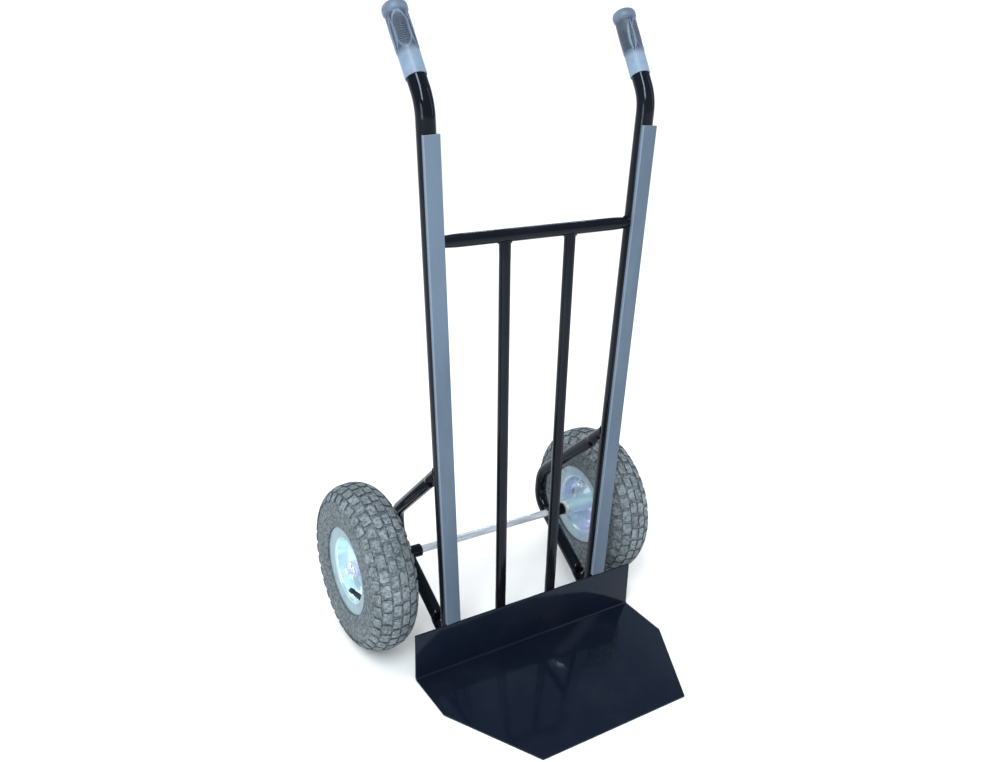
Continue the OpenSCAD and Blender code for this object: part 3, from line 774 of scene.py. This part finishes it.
def tread_block(length, width):
    """One block with rounded corners and a softened rim, cut so that it bends over the tyre."""
    bm = bmesh.new()
    bmesh.ops.create_cube(bm, size=1.0, matrix=Matrix.Diagonal((width, length, 0.01, 1.0)))
    uprights = [e for e in bm.edges if abs(e.verts[0].co.z - e.verts[1].co.z) > 0.005]
    bmesh.ops.bevel(bm, geom=uprights, offset=0.0026, segments=2, profile=0.5, affect="EDGES", material=-1)
    rims = [e for e in bm.edges if e.verts[0].co.z > 0.004 and e.verts[1].co.z > 0.004]
    bmesh.ops.bevel(bm, geom=rims, offset=0.0005, segments=1, profile=0.5, affect="EDGES", material=-1)
    for cut in ((1, 0, 0), (0, 1, 0)):
        whole = bm.verts[:] + bm.edges[:] + bm.faces[:]
        bmesh.ops.bisect_plane(bm, geom=whole, plane_co=(0, 0, 0), plane_no=cut)
    return bm


def tyre_mesh(seed):
    """Carcass, beads and tread blocks about Z, with the dusty tops marked and the block walls marked for
    painted shade.
    """
    chance = random.Random(seed)
    outer = [carcass_at(0.0006 * k, side_rib(0.0006 * k)) for k in range(-140, 141)]
    outer = [(r, x) for r, x in outer if r > FLANGE_R + 0.0004]
    bead_side = [(FLANGE_R + 0.0004, outer[-1][1]), (FLANGE_R + 0.0003, RIM_OUT - 0.0003),
                 (SEAT_R + 0.0003, RIM_OUT - 0.0003), (SEAT_R + 0.0003, 0.0162), (0.070, 0.0162)]
    inner = [section(0.0955, 0.0275, 0.033, 2.3, math.radians(a)) for a in range(-140, 141, 10)]
    profile = outer + bead_side + inner[::-1] + [(r, -x) for r, x in reversed(bead_side)]
    body = turned(profile, 144)
    layer = body.verts.layers.float.new("top")
    for v in body.verts:
        v[layer] = 0.62
    blocks = bmesh.new()
    blocks.verts.layers.float.new("top")
    for s, shift, length, width in TREAD:
        shape = tread_block(length, width)
        low, high = min(v.co.z for v in shape.verts), max(v.co.z for v in shape.verts)
        for k in range(PITCHES):
            one = shape.copy()
            dust_and_wall_shade = one.verts.layers.float.new("top")
            skew, rise = chance.uniform(-0.05, 0.05), chance.uniform(-0.0003, 0.0)
            dust, slip = chance.uniform(0.75, 1.0), chance.uniform(-0.0004, 0.0004)
            for v in one.verts:
                up = (v.co.z - low) / (high - low)
                # Dust on each block's top, painted shade down its walls.
                v[dust_and_wall_shade] = dust if up > 0.98 else 0.25 if up > 0.5 else 0.0
                lift = -0.0012 if up < 0.5 else BLOCK_TALL + rise - (high - v.co.z)
                r, x = carcass_at(s + v.co.x + skew * v.co.y, lift)
                angle = (k + shift) * 2 * math.pi / PITCHES + (v.co.y + slip) / TYRE_R
                v.co = Vector((r * math.cos(angle), r * math.sin(angle), x))
            bmesh.ops.recalc_face_normals(one, faces=one.faces)
            blocks = joined(blocks, one)
        shape.free()
    return joined(body, blocks)


def rim_profile():
    bend = 0.005
    return [(HUB_R + SEAT_GAP, 0), (DISH_R + RIM_T, 0), (SEAT_R, bend + RIM_T), (SEAT_R, RIM_OUT),
            (FLANGE_R - 0.0002, RIM_OUT), (FLANGE_R, RIM_OUT + 0.0006), (FLANGE_R, RIM_OUT + RIM_T + 0.0006),
            (FLANGE_R - 0.0022, RIM_OUT + RIM_T + 0.0006), (FLANGE_R - 0.0060, RIM_OUT + RIM_T + 0.0002),
            (SEAT_R + 0.0070, RIM_OUT + 0.0012), (SEAT_R + 0.0022, RIM_OUT + 0.0006),
            (SEAT_R - RIM_T, RIM_OUT - 0.0025), (SEAT_R - RIM_T, bend + 2 * RIM_T), (DISH_R, RIM_T),
            (0.0245, RIM_T), (0.0225, RIM_T + 0.0010),
            (HUB_R + SEAT_GAP, RIM_T + 0.0010)]


def pressed_rim():
    bm = soften(turned(rim_profile(), 96), 0.0008, 3, 20)
    # Marks the flange ring outside the seat, for its painted shade.
    layer = bm.verts.layers.float.new("flange_painted_shade")
    for v in bm.verts:
        v[layer] = clamped((math.hypot(v.co.x, v.co.y) - SEAT_R) / 0.002)
    return bm


def hexagon(across, height):
    """A hexagon head, its top edge turned down."""
    bm = bmesh.new()
    radius = across / math.sqrt(3)
    bmesh.ops.create_cone(bm, cap_ends=True, segments=6, radius1=radius, radius2=radius, depth=height)
    bmesh.ops.translate(bm, vec=(0, 0, height / 2), verts=bm.verts)
    roof = [e for e in bm.edges if min(v.co.z for v in e.verts) > height * 0.9]
    bmesh.ops.bevel(bm, geom=roof, offset=0.00072, segments=2, profile=0.5, affect="EDGES", material=-1)
    return bm


def bolt_ring(*shapes):
    """Puts a shape at each of the four bolt places."""
    one = joined(*shapes)
    mesh = bpy.data.meshes.new("bolt")
    one.to_mesh(mesh)
    one.free()
    out = bmesh.new()
    for i in range(4):
        start = len(out.verts)
        out.from_mesh(mesh)
        out.verts.ensure_lookup_table()
        turn = Matrix.Rotation(math.radians(90 * i + 45), 4, "Z") @ Matrix.Translation((BOLT_RING, 0, 0))
        bmesh.ops.transform(out, matrix=turn, verts=out.verts[start:])
    bpy.data.meshes.remove(mesh)
    return out


def wheels():
    for side, word in SIDES:
        body = "wheel_" + word

        def add(name, bm, finish, slot, *replaced, crease=32):
            finished(name + "_" + word, moved(bm, wheel_frame()), finish, body,
                     [r + "_" + word for r in replaced], side, crease)

        add("tyre_treaded", tyre_mesh(6 + side), tread, "tyre_rubber", "tyre", crease=40)
        add("rim_outer_pressed", pressed_rim(), zinc, "rim_zinc", "rim_outer", crease=60)
        inner = pressed_rim()
        mirrored(inner, (1, 1, -1))
        add("rim_inner_pressed", inner, zinc, "rim_zinc", "rim_inner", crease=60)
        low, high = HUB_IN + 0.0015 - WHEEL_X, HUB_OUT - 0.0015 - WHEEL_X
        hub = [(HUB_R - HUB_WALL, low), (HUB_R - 0.0006, low), (HUB_R, low + 0.0006), (HUB_R, high - 0.0006),
               (HUB_R - 0.0006, high), (HUB_R - HUB_WALL, high)]
        add("hub_tube_drawn", turned(hub, 64), zinc, "rim_zinc", "hub_tube")
        ends = []
        for face, way in ((low - 0.0015, 1), (high + 0.0015, -1)):
            bush = [(AXLE_R + 0.0001, face), (HUB_R - 0.0010, face), (HUB_R - 0.0005, face + way * 0.0005),
                    (HUB_R - 0.0005, face + way * 0.0014), (HUB_R - HUB_WALL - 0.0001, face + way * 0.0014),
                    (HUB_R - HUB_WALL - 0.0001, face + way * 0.0095), (AXLE_R + 0.0001, face + way * 0.0095)]
            ends.append(turned(bush, 48))
        add("hub_end_bushes", joined(*ends), bush_nylon, "bush_plastic", "hub_bushes")
        washer = turned([(0.0042, 0.0021), (0.0078, 0.0021), (0.0080, 0.0024), (0.0078, 0.0033),
                         (0.0042, 0.0033)], 32)
        head = moved(hexagon(BOLT_AF, 0.0046), Matrix.Translation((0, 0, 0.0033)))
        shank = turned([(0, -0.0125), (0.0032, -0.0125), (0.0040, -0.0115), (0.0040, 0.0035),
                        (0, 0.0035)], 24)
        add("rim_bolts_hex", bolt_ring(head, washer, shank), bolt_zinc, "bolt_zinc", "rim_bolts")
        nut = hexagon(BOLT_AF, 0.0064)
        mirrored(nut, (1, 1, -1))
        moved(nut, Matrix.Translation((0, 0, -0.0021)))
        add("rim_nuts_hex", bolt_ring(nut), bolt_zinc, "bolt_zinc", "rim_nuts")
        place = Matrix.Rotation(math.radians(-30), 4, "Z")
        place = place @ Matrix.Translation((SEAT_R - RIM_T / 2, 0, RIM_OUT * 0.55))
        place = place @ Matrix.Rotation(math.radians(38 - 90), 4, "Y")
        stem = [(0, -0.001), (0.0045, -0.001), (0.0045, 0.004), (0.0040, 0.006), (0.0038, 0.0155),
                (0.0032, 0.0175), (0.0028, 0.0190), (0, 0.0190)]
        add("valve_stem_rubber", moved(turned(stem, 32), place), valve_rubber, "valve_rubber", "valve_stem")
        cap = [(0, 0.0188), (0.0036, 0.0188), (0.0039, 0.0192), (0.0039, 0.0235), (0.0036, 0.0255),
               (0.0028, 0.0270), (0, 0.0272)]
        knurled = turned(cap, 36)
        for v in knurled.verts:
            r = math.hypot(v.co.x, v.co.y)
            if r > 0.0030:
                k = 1 - 0.05 * (0.5 + 0.5 * math.cos(18 * math.atan2(v.co.y, v.co.x)))
                v.co.x, v.co.y = v.co.x * k, v.co.y * k
        add("valve_cap_moulded", moved(knurled, place), valve_rubber, "valve_plastic", "valve_cap", crease=50)


wheels()

# ---- Finishes of the nodes that stay ----

staying = [("split_pins", bright)]
for _, word in SIDES:
    staying += [("inner_tube_" + word, tube_rubber), ("roller_cage_" + word, cage_nylon),
                ("rollers_" + word, bright)]
for node, finish in staying:
    for slot in nodes[node].material_slots:
        slot.material = finish.material

# ---- Stage, lights and camera ----


def stage():
    bm = bmesh.new()
    bmesh.ops.create_grid(bm, x_segments=1, y_segments=1, size=40.0)
    mesh = bpy.data.meshes.new("floor")
    bm.to_mesh(mesh)
    bm.free()
    floor_paint = Finish("floor", roughness=0.9, specular_ior_level=0.0)
    pale = floor_paint.mix((0.94, 0.94, 0.94), (0.96, 0.96, 0.96), floor_paint.noise(2.0, 2.0))
    # Gloss sees the floor in a darker grey than its pale colour: a painted dim reflection of the floor.
    glossy = floor_paint.node("ShaderNodeLightPath", output="Is Glossy Ray")
    floor_paint.set(Base_Color=floor_paint.mix(pale, (0.62, 0.64, 0.67), glossy))
    mesh.materials.append(floor_paint.material)
    floor = bpy.data.objects.new("floor", mesh)
    scene.collection.objects.link(floor)


def lamp(name, at, aim, size, power, colour=(1, 1, 1)):
    light = bpy.data.lights.new(name, "AREA")
    light.shape, light.size, light.size_y = "RECTANGLE", size[0], size[1]
    light.energy, light.color = power, colour
    holder = bpy.data.objects.new(name, light)
    holder.location = at
    holder.rotation_euler = (Vector(aim) - Vector(at)).to_track_quat("-Z", "Y").to_euler()
    scene.collection.objects.link(holder)


def sky():
    """A white room to look at and be lit by, which gloss sees as a dim blue one."""
    world = bpy.data.worlds.new("studio")
    scene.world = world
    world.use_nodes = True
    tree = world.node_tree
    room = tree.nodes.new("ShaderNodeMix")
    room.data_type = "RGBA"
    room.inputs[6].default_value = (1.10, 1.11, 1.13, 1.0)
    room.inputs[7].default_value = (0.22, 0.29, 0.40, 1.0)
    tree.links.new(tree.nodes.new("ShaderNodeLightPath").outputs["Is Glossy Ray"], room.inputs[0])
    tree.links.new(room.outputs[2], tree.nodes["Background"].inputs["Color"])


EYE = Vector((-0.702, -0.897, 0.910))
EYE_TURN, EYE_RISE, EYE_ROLL = math.radians(-32.23), math.radians(21.0), math.radians(1.5)
SENSOR, LENS = 36.0, 33.45
STRIP_FAR, STRIP_UP, STRIP_STEP = 3.0, 2.5, math.radians(5)


def strips_opposite(eye):
    """Three even upright strip lamps behind the truck, on the far side from the eye."""
    away = Vector((-eye.x, -eye.y, 0)).normalized() * STRIP_FAR
    for step in (-1, 0, 1):
        place = Matrix.Rotation(step * STRIP_STEP, 3, "Z") @ away
        lamp("strip", place + Vector((0, 0, STRIP_UP)), (0, 0, 0), (0.05, 0.5), 1.2, (0.78, 0.95, 1.0))


def camera():
    a, e, roll = EYE_TURN, EYE_RISE, EYE_ROLL
    right = Vector((math.cos(a), math.sin(a), 0))
    back = Vector((math.sin(a) * math.cos(e), -math.cos(a) * math.cos(e), math.sin(e)))
    up = back.cross(right)
    right, up = right * math.cos(roll) + up * math.sin(roll), up * math.cos(roll) - right * math.sin(roll)
    lens = bpy.data.cameras.new("camera")
    lens.sensor_fit, lens.sensor_width, lens.lens = "HORIZONTAL", SENSOR, LENS
    eye = bpy.data.objects.new("camera", lens)
    eye.matrix_world = Matrix((
        (right.x, up.x, back.x, EYE.x), (right.y, up.y, back.y, EYE.y), (right.z, up.z, back.z, EYE.z),
        (0, 0, 0, 1)))
    scene.collection.objects.link(eye)
    scene.camera = eye


stage()
sky()
lamp("key", (-1.32, -1.32, 2.5), (-0.1, 0.16, 0.85), (0.6, 1.6), 46, (0.86, 0.97, 1.0))
lamp("low", (-2.2, -0.9, 0.9), (-0.2, 0.2, 0.2), (0.8, 0.8), 10, (0.86, 0.97, 1.0))
lamp("side", (2.2, -0.9, 1.7), (0, 0.1, 0.5), (0.25, 1.8), 4, (0.94, 0.88, 1.0))
lamp("back", (-1.6, 2.2, 1.9), (0, 0.1, 0.4), (1.4, 0.4), 8, (0.95, 0.98, 1.0))
strips_opposite(EYE)
camera()
scene.view_settings.view_transform = "Standard"
